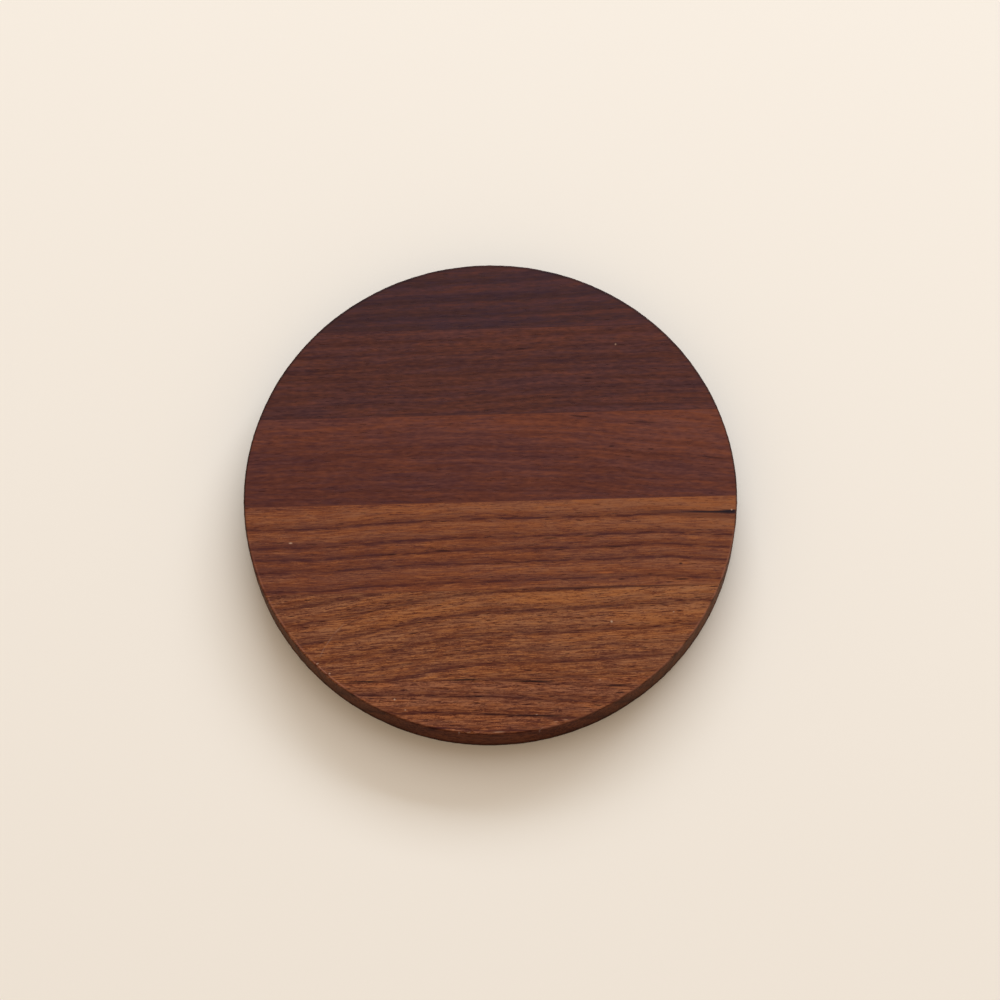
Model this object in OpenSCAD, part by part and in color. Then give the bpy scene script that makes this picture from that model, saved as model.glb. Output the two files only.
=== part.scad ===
// Round drink coaster, cut from a panel of six wooden staves glued edge to edge.
// The grain runs along X. The front of the disc, nearest the viewer, is at -Y.
// The origin is the centre of the underside, and the disc stands on Z = 0.

/* [Disc] */
// Diameter of the finished disc
disc_d = 100; // [84:1:120]
// Thickness of the finished disc
disc_t = 9; // [5:0.5:15]

/* [Rim] */
// Radius of the softened edge round the top face
top_edge_r = 0.45; // [0.2:0.05:2]
// Radius of the softened edge round the underside
under_edge_r = 0.45; // [0.2:0.05:2]

/* [Staves] */
// Width of one planed stave, from glue face to glue face
stave_w = 18.55; // [15:0.05:21.5]
// How far the middle seam lies in front of the disc's centre
middle_seam_offset = 1.35; // [0:0.05:5]

/* [Glue] */
// Thickness of the cured glue film in each seam
glue_t = 0.1; // [0.05:0.01:0.3]

/* [Hidden] */
// Straight pieces that round the rim is drawn with on screen
$fn = 180;
disc_r = disc_d / 2;
// Seams are numbered from the back. Six staves have five seams between them.
seam_count = 5;
middle_seam = (seam_count + 1) / 2;
seam_pitch = stave_w + glue_t;
// How far the cutting slabs run past the disc on every side
overrun = disc_t;

// Y of the middle of a seam
function seam_y(seam) = (middle_seam - seam) * seam_pitch - middle_seam_offset;

// Half of the disc's section: an upright rim, two flat faces and a true quarter round at each corner
module half_section() {
    upright_h = disc_t - top_edge_r - under_edge_r;
    underside_r = disc_r - under_edge_r;
    top_r = disc_r - top_edge_r;
    translate([0, under_edge_r])
        square([disc_r, upright_h]);
    square([underside_r, disc_t - top_edge_r]);
    translate([0, under_edge_r])
        square([top_r, disc_t - under_edge_r]);
    translate([underside_r, under_edge_r])
        circle(r = under_edge_r);
    translate([top_r, disc_t - top_edge_r])
        circle(r = top_edge_r);
}

// The whole glued disc, as it is turned after the glue has cured
module turned_blank() {
    rotate_extrude()
        half_section();
}

// The slice of the turned disc between two planes across Y
module slice(front_y, back_y) {
    intersection() {
        turned_blank();
        translate([-disc_r - overrun, front_y, -overrun])
            cube([disc_d + overrun * 2, back_y - front_y, disc_t + overrun * 2]);
    }
}

// The stave in front of a seam. Its faces stop where the glue films start.
module stave_in_front_of(seam) {
    slice(seam_y(seam + 1) + glue_t / 2, seam_y(seam) - glue_t / 2);
}

// The glue film that fills one seam, cut and softened at the rim with the wood
module glue_film(seam) {
    color("#3a2018")
        slice(seam_y(seam) - glue_t / 2, seam_y(seam) + glue_t / 2);
}

// Very dark segment at the back of the disc
module back_stave() {
    color("#472c2b")
        slice(seam_y(1) + glue_t / 2, disc_r + overrun);
}

// Dark red-brown stave
module second_stave() {
    color("#55302c")
        stave_in_front_of(1);
}

// Warm red-brown stave, the last one behind the middle seam
module third_stave() {
    color("#69392c")
        stave_in_front_of(2);
}

// Golden stave with straight growth lines, just in front of the middle seam
module fourth_stave() {
    color("#7d4c32")
        stave_in_front_of(3);
}

// Golden stave whose growth lines run out against its front seam
module fifth_stave() {
    color("#7f5033")
        stave_in_front_of(4);
}

// Segment at the front of the disc
module front_stave() {
    color("#7a4930")
        slice(-disc_r - overrun, seam_y(seam_count) - glue_t / 2);
}

module glue_line_1() glue_film(1);
module glue_line_2() glue_film(2);
module glue_line_3() glue_film(3);
module glue_line_4() glue_film(4);
module glue_line_5() glue_film(5);

back_stave();
second_stave();
third_stave();
fourth_stave();
fifth_stave();
front_stave();
glue_line_1();
glue_line_2();
glue_line_3();
glue_line_4();
glue_line_5();
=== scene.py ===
"""Looks of a round drink coaster: six oiled wooden staves glued edge to edge, lying on a pale floor.

Meshes are in metres. Finishes are worked out in millimetres from the object's own coordinates, as a solid
texture, so that the grain on the top runs on over the softened rim and down the side of each stave.
"""

import logging
import math
from dataclasses import dataclass, field
from enum import Enum

import bmesh
import bpy
from mathutils import Matrix, Vector, noise


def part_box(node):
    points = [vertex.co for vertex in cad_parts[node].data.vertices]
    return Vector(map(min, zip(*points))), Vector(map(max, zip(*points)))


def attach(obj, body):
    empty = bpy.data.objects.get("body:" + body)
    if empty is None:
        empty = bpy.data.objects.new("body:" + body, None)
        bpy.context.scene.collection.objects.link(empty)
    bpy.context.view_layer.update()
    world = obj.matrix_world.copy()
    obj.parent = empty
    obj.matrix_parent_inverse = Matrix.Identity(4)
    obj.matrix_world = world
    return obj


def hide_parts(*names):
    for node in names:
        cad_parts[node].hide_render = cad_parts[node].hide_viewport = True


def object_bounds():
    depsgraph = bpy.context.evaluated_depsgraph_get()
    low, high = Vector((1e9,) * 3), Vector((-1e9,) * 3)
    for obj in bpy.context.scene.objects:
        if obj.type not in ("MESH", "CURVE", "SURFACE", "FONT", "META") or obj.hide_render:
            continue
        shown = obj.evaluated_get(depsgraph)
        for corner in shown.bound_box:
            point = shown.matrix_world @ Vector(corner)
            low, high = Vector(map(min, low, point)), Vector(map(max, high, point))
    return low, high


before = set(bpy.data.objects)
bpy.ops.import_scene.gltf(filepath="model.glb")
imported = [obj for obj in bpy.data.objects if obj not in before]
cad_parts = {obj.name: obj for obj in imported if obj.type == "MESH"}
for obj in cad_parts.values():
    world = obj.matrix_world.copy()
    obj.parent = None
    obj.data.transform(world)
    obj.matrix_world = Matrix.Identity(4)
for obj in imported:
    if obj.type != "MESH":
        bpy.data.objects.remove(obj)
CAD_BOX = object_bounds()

LOG = logging.getLogger("coaster")

MM = 0.001
BODY = "root"
# How upright a face's normal is on the flat top and underside
FLAT = 0.999
# Where the camera looks on the disc's top, in mm
AIM_MM = Vector((1.955, -1.08, 0.0))

Colour = tuple[int, int, int]
Point = tuple[float, float]


class Blend(Enum):
    """How one colour is laid over another."""

    COVER = "MIX"
    STAIN = "MULTIPLY"


def linear(colour: Colour) -> tuple[float, float, float, float]:
    """Turns a colour as seen on screen into the renderer's linear light.

    Args:
        colour: red, green and blue from 0 to 255.

    Returns:
        Linear red, green and blue from 0 to 1, and an alpha of 1.
    """
    shares = [value / 255 for value in colour]
    light = [s / 12.92 if s <= 0.04045 else ((s + 0.055) / 1.055) ** 2.4 for s in shares]
    return (light[0], light[1], light[2], 1.0)


class Board:
    """Places and wires shader nodes on one node tree."""

    def __init__(self, tree: bpy.types.NodeTree) -> None:
        """Starts on a tree that is empty or already holds nodes.

        Args:
            tree: the material's or group's node tree.
        """
        self.tree = tree

    def place(self, kind: str, **settings: object) -> bpy.types.Node:
        """Adds one node.

        Args:
            kind: the node's type name.
            settings: properties set on the node.

        Returns:
            The new node.
        """
        node = self.tree.nodes.new(kind)
        for name, value in settings.items():
            setattr(node, name, value)
        return node

    def feed(self, socket: bpy.types.NodeSocket, value: object) -> None:
        """Links an output to a socket, or sets the socket's own value.

        Args:
            socket: the input to feed.
            value: an output socket, a number, or a tuple of numbers.
        """
        if isinstance(value, bpy.types.NodeSocket):
            self.tree.links.new(value, socket)
        else:
            socket.default_value = value

    def math(self, operation: str, *values: object) -> bpy.types.NodeSocket:
        """Adds a Math node.

        Args:
            operation: the node's operation.
            values: up to three inputs.

        Returns:
            The result socket.
        """
        node = self.place("ShaderNodeMath", operation=operation)
        for socket, value in zip(node.inputs, values):
            self.feed(socket, value)
        return node.outputs[0]

    def vector(self, operation: str, *values: object) -> bpy.types.NodeSocket:
        """Adds a Vector Math node with vector inputs.

        Args:
            operation: the node's operation.
            values: up to three vector inputs.

        Returns:
            The result socket, a number for LENGTH and DOT_PRODUCT and a vector otherwise.
        """
        node = self.place("ShaderNodeVectorMath", operation=operation)
        for socket, value in zip(node.inputs, values):
            self.feed(socket, value)
        return node.outputs["Value" if operation in ("LENGTH", "DOT_PRODUCT") else "Vector"]

    def ramp(self, value: object, low: object, high: object, start: float = 0.0, end: float = 1.0,
             smooth: bool = True) -> bpy.types.NodeSocket:
        """Adds a Map Range node that holds its result between start and end.

        Args:
            value: the number to map.
            low: the number that gives start.
            high: the number that gives end.
            start: the result at low.
            end: the result at high.
            smooth: whether the change eases in and out.

        Returns:
            The result socket.
        """
        kind = "SMOOTHSTEP" if smooth else "LINEAR"
        node = self.place("ShaderNodeMapRange", interpolation_type=kind)
        for name, given in (("Value", value), ("From Min", low), ("From Max", high)):
            self.feed(node.inputs[name], given)
        self.feed(node.inputs["To Min"], start)
        self.feed(node.inputs["To Max"], end)
        return node.outputs["Result"]

    def cloud(self, vector: object, detail: float, roughness: float = 0.5) -> bpy.types.NodeSocket:
        """Adds a Noise Texture at a scale of 1.

        Args:
            vector: where the noise is read, already scaled.
            detail: the number of octaves above the first.
            roughness: how strong the finer octaves are.

        Returns:
            The noise's value, about 0.5 on average.
        """
        node = self.place("ShaderNodeTexNoise", noise_dimensions="3D")
        self.feed(node.inputs["Vector"], vector)
        self.feed(node.inputs["Scale"], 1.0)
        self.feed(node.inputs["Detail"], detail)
        self.feed(node.inputs["Roughness"], roughness)
        return node.outputs["Fac"]

    def lay(self, amount: object, below: object, above: object,
            blend: Blend = Blend.COVER) -> bpy.types.NodeSocket:
        """Lays one colour over another.

        Args:
            amount: how much of the upper colour shows, from 0 to 1.
            below: the lower colour.
            above: the upper colour.
            blend: how the upper colour is laid.

        Returns:
            The mixed colour.
        """
        node = self.place("ShaderNodeMix", data_type="RGBA", blend_type=blend.value)
        inputs = [s for s in node.inputs if s.type == "RGBA"]
        self.feed(node.inputs[0], amount)
        self.feed(inputs[0], below)
        self.feed(inputs[1], above)
        return next(s for s in node.outputs if s.type == "RGBA")

    def curve(self, value: object, span: Point, points: tuple[Point, ...], reach: Point,
              rounded: bool) -> bpy.types.NodeSocket:
        """Reads a number off a curve drawn through points.

        Args:
            value: the number along the curve, in the points' own units.
            span: the lowest and highest number along the curve.
            points: pairs of number along the curve and height, in order.
            reach: the lowest and highest height.
            rounded: whether the curve bends smoothly at its points.

        Returns:
            The height, in the points' own units.
        """
        along = self.ramp(value, span[0], span[1], smooth=False)
        node = self.place("ShaderNodeFloatCurve")
        self.feed(node.inputs["Value"], along)
        drawn = node.mapping.curves[0].points
        scaled = [((x - span[0]) / (span[1] - span[0]), (y - reach[0]) / (reach[1] - reach[0]))
                  for x, y in points]
        for place in scaled[1:-1]:
            drawn.new(*place)
        drawn[0].location = scaled[0]
        drawn[len(drawn) - 1].location = scaled[-1]
        for point in drawn:
            point.handle_type = "AUTO_CLAMPED" if rounded else "VECTOR"
        node.mapping.update()
        return self.ramp(node.outputs[0], 0.0, 1.0, reach[0], reach[1], smooth=False)

    def group(self, tree: bpy.types.NodeTree, **values: object) -> bpy.types.Node:
        """Places a node group and feeds its inputs.

        Args:
            tree: the group's tree.
            values: inputs by name, with a low line in place of each blank.

        Returns:
            The group node.
        """
        node = self.place("ShaderNodeGroup", node_tree=tree)
        for name, value in values.items():
            self.feed(node.inputs[name.replace("_", " ")], value)
        return node


class Effect:
    """A shader node group that several finishes use, built once."""

    name = ""
    inputs: tuple[tuple[str, str], ...] = ()
    outputs: tuple[tuple[str, str], ...] = ()

    def __init__(self) -> None:
        """Builds the group's sockets and its nodes."""
        self.tree = bpy.data.node_groups.new(self.name, "ShaderNodeTree")
        for label, kind in self.inputs:
            self.tree.interface.new_socket(name=label, in_out="INPUT", socket_type=kind)
        for label, kind in self.outputs:
            self.tree.interface.new_socket(name=label, in_out="OUTPUT", socket_type=kind)
        board = Board(self.tree)
        source = board.place("NodeGroupInput")
        results = self.wire(board, source.outputs)
        sink = board.place("NodeGroupOutput")
        for label, result in results.items():
            board.feed(sink.inputs[label], result)

    def wire(self, board: Board, given: bpy.types.NodeOutputs) -> dict[str, bpy.types.NodeSocket]:
        """Builds the nodes between the group's inputs and outputs.

        Args:
            board: the group's board.
            given: the group's inputs, by name.

        Returns:
            The result of each output, by name.
        """
        raise NotImplementedError


FLOAT = "NodeSocketFloat"
VECTOR = "NodeSocketVector"
COLOUR = "NodeSocketColor"


class FibreTone(Effect):
    """Light and dark drawn out along the grain, at six widths, each about zero on average."""

    name = "fibre_tone"
    inputs = (("Flow", VECTOR), ("Fibres", VECTOR))
    outputs = (("Band", FLOAT), ("Streak", FLOAT), ("Dapple", FLOAT), ("Fibre", FLOAT), ("Fleck", FLOAT),
               ("Speck", FLOAT))

    # How long each tone's patches are along the grain, how wide and how deep
    sizes_mm = {
        "Band": (38.0, 3.2, 5.0),
        "Streak": (14.0, 0.75, 1.0),
        "Dapple": (1.7, 0.46, 0.55),
        "Fibre": (4.6, 0.32, 0.4),
        "Fleck": (6.0, 0.18, 0.25),
        "Speck": (3.0, 0.13, 0.2),
    }
    # The finest lines are straight, and broken into runs of these sizes
    runs_mm = {"Fleck": (1.1, 0.4, 0.5), "Speck": (0.36, 0.22, 0.3)}
    # Between which values of its noise a run fades in, and how strong it is then
    run_edge = (0.43, 0.57)
    run_strength = 1.75
    run_octaves = 0.0
    # The tones that follow the growth lines. The finer ones follow the fibres.
    along_growth = ("Band", "Streak")
    octaves = 1.5
    roughness = 0.55

    def wire(self, board: Board, given: bpy.types.NodeOutputs) -> dict[str, bpy.types.NodeSocket]:
        """Reads one noise at each width, and breaks the finest. See Effect.wire for Args and Returns."""
        tones = {}
        for label, size in self.sizes_mm.items():
            source = given["Flow" if label in self.along_growth else "Fibres"]
            cloud = board.cloud(board.vector("DIVIDE", source, size), self.octaves, self.roughness)
            tones[label] = board.math("MULTIPLY", board.math("SUBTRACT", cloud, 0.5), 2.0)
            if label in self.runs_mm:
                run = board.cloud(board.vector("DIVIDE", source, self.runs_mm[label]), self.run_octaves)
                shown = board.ramp(run, *self.run_edge, 0.0, self.run_strength)
                tones[label] = board.math("MULTIPLY", tones[label], shown)
        return tones


class HueDrift(Effect):
    """A stain that wanders between grey-mauve and orange along the grain."""

    name = "hue_drift"
    inputs = (("Flow", VECTOR),)
    outputs = (("Stain", COLOUR),)

    # How long, wide and deep the stain's slow and quick changes are
    wide_mm = (26.0, 2.4, 3.0)
    narrow_mm = (4.0, 0.5, 0.6)
    mauve = (0.93, 0.965, 1.19, 1.0)
    orange = (1.08, 0.97, 0.82, 1.0)
    wide_octaves = 2.0
    narrow_octaves = 1.5
    # The sum of both noises where the stain is all mauve, and where it is all orange
    turning = (0.75, 1.25)

    def wire(self, board: Board, given: bpy.types.NodeOutputs) -> dict[str, bpy.types.NodeSocket]:
        """Mixes the two stains by two noises. See Effect.wire for Args and Returns."""
        wide = board.cloud(board.vector("DIVIDE", given["Flow"], self.wide_mm), self.wide_octaves)
        narrow = board.cloud(board.vector("DIVIDE", given["Flow"], self.narrow_mm), self.narrow_octaves)
        blend = board.ramp(board.math("ADD", wide, narrow), *self.turning)
        return {"Stain": board.lay(blend, self.mauve, self.orange)}


class GrowthLine(Effect):
    """The dark line that closes a year's growth: sharp in front, fading slowly behind."""

    name = "growth_line"
    inputs = (("Away", FLOAT), ("Half Width", FLOAT), ("Flow", VECTOR))
    outputs = (("Line", FLOAT), ("Halo", FLOAT))

    # How much wider the halo is behind the line, in times the line's half width
    halo_spread = 2.4
    # How long, wide and deep the breaks in the line are
    break_mm = (3.6, 0.5, 0.6)
    break_octaves = 3.0
    # The noise where the line is faintest, and where it is whole
    breaking = (0.36, 0.56)
    faintest = 0.4

    def wire(self, board: Board, given: bpy.types.NodeOutputs) -> dict[str, bpy.types.NodeSocket]:
        """Fades out on both sides of the line. See Effect.wire for Args and Returns."""
        behind = board.math("GREATER_THAN", given["Away"], 0.0)
        spread = board.math("MULTIPLY", behind, self.halo_spread)
        wider = board.math("MULTIPLY", spread, given["Half Width"])
        widths = {"Line": given["Half Width"], "Halo": board.math("ADD", given["Half Width"], wider)}
        results = {}
        for label, width in widths.items():
            share = board.math("DIVIDE", given["Away"], width)
            squared = board.math("MULTIPLY", share, share)
            results[label] = board.math("EXPONENT", board.math("MULTIPLY", squared, -1.0))
        broken = board.cloud(board.vector("DIVIDE", given["Flow"], self.break_mm), self.break_octaves)
        kept = board.ramp(broken, *self.breaking, self.faintest, 1.0)
        results["Line"] = board.math("MULTIPLY", results["Line"], kept)
        return results


class Pores(Effect):
    """Open pores of the wood: short dark ticks along the grain, and dots on the end grain."""

    name = "pores"
    inputs = (("Flow", VECTOR), ("Cell", VECTOR), ("Size", FLOAT), ("Kept", FLOAT))
    outputs = (("Pore", FLOAT),)

    # The smallest pore's share of the largest one's size, and the share of a pore that is open all the way
    smallest = 0.45
    open_share = 0.5

    def wire(self, board: Board, given: bpy.types.NodeOutputs) -> dict[str, bpy.types.NodeSocket]:
        """Cuts a stretched cell pattern near its points. See Effect.wire for Args and Returns."""
        cells = board.place("ShaderNodeTexVoronoi", voronoi_dimensions="3D", feature="F1")
        board.feed(cells.inputs["Vector"], board.vector("DIVIDE", given["Flow"], given["Cell"]))
        board.feed(cells.inputs["Scale"], 1.0)
        chance = board.place("ShaderNodeSeparateColor")
        board.feed(chance.inputs[0], cells.outputs["Color"])
        share = board.ramp(chance.outputs[0], 0.0, 1.0, self.smallest, 1.0, smooth=False)
        radius = board.math("MULTIPLY", given["Size"], share)
        core = board.math("MULTIPLY", radius, self.open_share)
        hole = board.ramp(cells.outputs["Distance"], radius, core)
        kept = board.math("LESS_THAN", chance.outputs[1], given["Kept"])
        return {"Pore": board.math("MULTIPLY", hole, kept)}


class ShortMark(Effect):
    """A soft-edged long mark round one place, turned by an angle."""

    name = "short_mark"
    inputs = (("Place", VECTOR), ("Centre", VECTOR), ("Half Size", VECTOR), ("Turn", FLOAT))
    outputs = (("Mask", FLOAT),)

    # The share of the mark that is full
    full_share = 0.35

    def wire(self, board: Board, given: bpy.types.NodeOutputs) -> dict[str, bpy.types.NodeSocket]:
        """Fades out on a stretched ball. See Effect.wire for Args and Returns."""
        turned = board.place("ShaderNodeVectorRotate", rotation_type="Z_AXIS")
        board.feed(turned.inputs["Vector"], given["Place"])
        board.feed(turned.inputs["Center"], given["Centre"])
        board.feed(turned.inputs["Angle"], board.math("MULTIPLY", given["Turn"], -1.0))
        offset = board.vector("SUBTRACT", turned.outputs[0], given["Centre"])
        away = board.vector("LENGTH", board.vector("DIVIDE", offset, given["Half Size"]))
        return {"Mask": board.ramp(away, 1.0, self.full_share)}


class RimShadeAndWear(Effect):
    """Masks for the painted shade of side and foot, the end grain, and the dark and worn upper edge."""

    name = "rim_shade_and_wear"
    inputs = (("Place", VECTOR), ("Radius", FLOAT), ("Thickness", FLOAT))
    outputs = (("Side", FLOAT), ("End Grain", FLOAT), ("Dark Edge", FLOAT), ("Worn Edge", FLOAT),
               ("Foot", FLOAT))

    # Where the side's painted shade starts inside the rim and where it is full, mostly and at the left
    # front
    side_start_mm = (0.36, 0.2)
    side_full_mm = (0.16, 0.02)
    # The way to the left front, and between which distances that way the rim turns into it
    left_front = (-0.84, -0.54, 0.0)
    left_front_mm = (45.5, 48.0)
    # How far out along X the side starts to show end grain, and shows it in full, as shares of the radius
    end_grain = (0.15, 0.95)
    # Where the worn line starts inside the rim, where it is full and how far down it goes, left and right
    worn_start_mm = (0.72, 0.58)
    worn_full_mm = (0.46, 0.22)
    worn_drop_mm = (0.08, 0.45)
    # How far to each side of the middle the left side's wear turns into the right side's
    worn_change_mm = 5.0
    # Between which places along Y the worn front edge gives way to the dark back edge
    worn_front_mm = -22.0
    dark_back_mm = 4.0
    # Where the dark back edge starts inside the rim and where it is full, at the sides and at the back
    dark_start_mm = (0.5, 0.78)
    dark_full_mm = (0.26, 0.46)
    # How high the shade at the foot of the side reaches
    foot_mm = 3.0
    # How long, wide and deep the gaps in the worn line are
    rubbed_mm = (3.0, 3.0, 1.0)
    rubbed_octaves = 2.0
    # The noise where the worn line is missing, and where it is whole
    rubbing = (0.36, 0.56)
    # How worn the upper edge is from the left to the right, as places along X in mm and shares from 0 to 1
    wear = ((-50, 0.4), (-42, 0.55), (-36, 0.75), (-29, 0.75), (-24, 0.2), (-14, 0.0), (-6, 0.0), (0, 0.15),
            (6, 0.05), (10, 0.8), (22, 0.35), (30, 0.6), (40, 0.8), (50, 0.95))

    def wire(self, board: Board, given: bpy.types.NodeOutputs) -> dict[str, bpy.types.NodeSocket]:
        """Measures the distance to each edge. See Effect.wire for Args and Returns."""
        split = board.place("ShaderNodeSeparateXYZ")
        board.feed(split.inputs[0], given["Place"])
        x, y, z = split.outputs
        flat = board.place("ShaderNodeCombineXYZ")
        board.feed(flat.inputs[0], x)
        board.feed(flat.inputs[1], y)
        radius = board.vector("LENGTH", flat.outputs[0])
        inward = board.math("SUBTRACT", given["Radius"], radius)
        toward = board.vector("DOT_PRODUCT", given["Place"], self.left_front)
        start, full = (board.ramp(toward, *self.left_front_mm, *ends)
                       for ends in (self.side_start_mm, self.side_full_mm))
        side = board.ramp(inward, start, full)
        along = board.math("DIVIDE", board.math("ABSOLUTE", x), given["Radius"])
        end = board.math("MULTIPLY", side, board.ramp(along, *self.end_grain))
        down = board.math("SUBTRACT", given["Thickness"], z)
        change = self.worn_change_mm
        start, full, drop = (board.ramp(x, -change, change, *ends)
                             for ends in (self.worn_start_mm, self.worn_full_mm, self.worn_drop_mm))
        corner = board.math("MULTIPLY", board.ramp(inward, start, full), board.ramp(down, drop, 0.0))
        behind = board.ramp(y, self.worn_front_mm, self.dark_back_mm)
        start, full = (board.ramp(y, 0.0, given["Radius"], *ends)
                       for ends in (self.dark_start_mm, self.dark_full_mm))
        dark = board.ramp(inward, start, full)
        rubbed = board.cloud(board.vector("DIVIDE", given["Place"], self.rubbed_mm), self.rubbed_octaves)
        ahead = board.math("SUBTRACT", 1.0, behind)
        wear = board.curve(x, (self.wear[0][0], self.wear[-1][0]), self.wear, (0, 1), rounded=False)
        through = board.ramp(rubbed, *self.rubbing)
        worn = board.math("MULTIPLY", board.math("MULTIPLY", corner, ahead), through)
        worn = board.math("MULTIPLY", worn, wear)
        # Side marks painted shade over the whole side, and Foot more painted shade towards the floor
        return {
            "Side": side,
            "End Grain": end,
            "Dark Edge": board.math("MULTIPLY", dark, behind),
            "Worn Edge": worn,
            "Foot": board.math("MULTIPLY", side, board.ramp(z, self.foot_mm, 0.0)),
        }


@dataclass(frozen=True)
class Mark:
    """A short mark on the top face.

    Attributes:
        x: place along the seams, in mm.
        y: place across them, in mm.
        half_length: half its length, in mm.
        half_width: half its width, in mm.
        strength: how strongly it covers the wood, from 0 to 1.
        turn: how far it is turned anticlockwise from the seams, in degrees.
        colour: its colour as it shows.
    """

    x: float
    y: float
    half_length: float
    half_width: float
    strength: float = 0.85
    turn: float = 0.0
    colour: Colour = (44, 27, 27)


PALE = (176, 140, 116)
BLACK = (26, 20, 24)
MAROON = (66, 34, 34)
VEIN = (42, 33, 37)
SCRATCH = (185, 155, 140)


@dataclass(frozen=True)
class WoodFinish:
    """How one stave's wood looks, oiled and sanded. Colours are as they show.

    Attributes:
        shade: the darkest parts of the ground between the growth lines.
        ground: the wood's middle colour.
        glow: its lightest parts.
        line: the growth lines.
        pore: the open pores.
        bend: how the grain rises across the disc, as places along X and rises in mm.
        tone: how light the ground is across the stave, as places along Y in mm and shares from 0 to 1.
        drift: how much lighter the ground gets from the left to the right.
        lines: where the growth lines cross the middle of the disc, in mm along Y, each with its strength.
        line_width: the growth lines' half width in mm.
        line_depth: how strongly they show, from 0 to 1.
        lean: how far the growth lines move along Y for each mm of depth.
        waver: how far they wander, in mm.
        band: how strongly the widest streaks show.
        streak: how strongly the middle streaks show.
        dapple: how strongly short, wide patches show.
        fibre: how strongly the fine streaks show.
        fleck: how strongly the finest streaks show.
        speck: how strongly the small specks show.
        hue: how strongly the colour wanders.
        pores: how much the pores show.
        pores_kept: the share of the pores that are open.
        seed: where in the noise this stave is cut from, in mm.
        marks: short marks.
    """

    shade: Colour
    ground: Colour
    glow: Colour
    line: Colour
    pore: Colour
    bend: tuple[Point, ...]
    tone: tuple[Point, ...]
    drift: float
    lines: tuple[Point, ...]
    line_width: float
    line_depth: float
    lean: float
    waver: float
    band: float
    streak: float
    dapple: float
    fibre: float
    fleck: float
    speck: float
    hue: float
    pores: float
    pores_kept: float
    seed: float
    marks: tuple[Mark, ...] = ()


BACK_WOOD = WoodFinish(
    shade=(59, 40, 43), ground=(72, 48, 47), glow=(89, 54, 49), line=(57, 41, 44), pore=(44, 30, 32),
    bend=((-52, -1.8), (-25, -0.8), (0, 0), (25, 0.9), (52, 1.6)),
    tone=((34, 0.6), (35.9, 0.66), (36.5, 0.42), (37.4, 0.42), (38.0, 0.66), (38.6, 0.64), (39.2, 0.4),
          (40.2, 0.42), (40.9, 0.66), (41.8, 0.66), (42.4, 0.38), (43.6, 0.4), (44.4, 0.66), (45.6, 0.68),
          (46.2, 0.38), (47.4, 0.4), (48.3, 0.7), (50, 0.66)),
    drift=0.2,
    lines=((48.9, 0.5), (45.9, 0.9), (42.1, 1.0), (38.8, 1.0), (36.2, 0.7)),
    line_width=0.35, line_depth=0.5, lean=0.3, waver=0.3,
    band=0.15, streak=0.4, dapple=0.45, fibre=0.2, fleck=0.15, speck=0.15,
    hue=0.9, pores=0.35, pores_kept=0.4, seed=11.0,
)

SECOND_WOOD = WoodFinish(
    shade=(66, 41, 40), ground=(84, 52, 46), glow=(103, 61, 51), line=(60, 37, 36), pore=(50, 31, 31),
    bend=((-52, -0.7), (-25, -0.5), (0, 0), (20, 0.5), (52, 0.2)),
    tone=((17, 0.52), (24, 0.52), (30, 0.48), (33, 0.6), (36, 0.6)),
    drift=0.06,
    lines=((36.4, 0.3), (33.8, 0.8), (31.2, 0.8), (28.4, 0.9), (26.0, 0.7), (24.2, 0.7), (22.2, 0.9),
           (20.2, 0.7), (18.2, 0.9)),
    line_width=0.4, line_depth=0.55, lean=0.5, waver=0.6,
    band=0.27, streak=0.55, dapple=0.6, fibre=0.15, fleck=0.15, speck=0.15,
    hue=0.9, pores=0.5, pores_kept=0.5, seed=47.0,
    marks=(
        Mark(26.4, 31.8, 0.3, 0.25, 0.5, 60, PALE), Mark(7.0, 31.3, 1.6, 0.2), Mark(20.5, 24.6, 1.2, 0.2),
    ),
)

THIRD_WOOD = WoodFinish(
    shade=(75, 43, 40), ground=(94, 55, 46), glow=(115, 67, 51), line=(70, 41, 39), pore=(58, 35, 33),
    bend=((-52, 0.3), (-20, 0.2), (0, 0), (15, -0.7), (30, -2.2), (52, -4.6)),
    tone=((-2, 0.42), (4, 0.47), (8.5, 0.46), (11, 0.58), (13, 0.64), (17.4, 0.7)),
    drift=0.1,
    lines=((17.0, 0.3), (15.0, 0.3), (13.0, 0.8), (10.4, 0.9), (8.3, 0.8), (5.8, 0.9), (3.6, 0.7),
           (1.2, 0.9), (-0.9, 1.0)),
    line_width=0.38, line_depth=0.5, lean=-0.4, waver=0.7,
    band=0.24, streak=0.5, dapple=0.55, fibre=0.15, fleck=0.15, speck=0.15,
    hue=0.9, pores=0.5, pores_kept=0.5, seed=83.0,
    marks=(
        Mark(18.6, 16.4, 3.0, 0.26, 0.65, -7.0), Mark(31.8, 14.8, 4.6, 0.26, 0.5, -6.0),
        Mark(24.9, 9.8, 0.8, 0.28, 0.6), Mark(32.8, 9.0, 1.0, 0.24, 0.6), Mark(17.7, 7.6, 0.8, 0.2, 0.5),
        Mark(28.3, 7.5, 0.9, 0.2, 0.5), Mark(45.2, 6.9, 3.4, 0.26, 0.5, -8.0),
    ),
)

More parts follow.
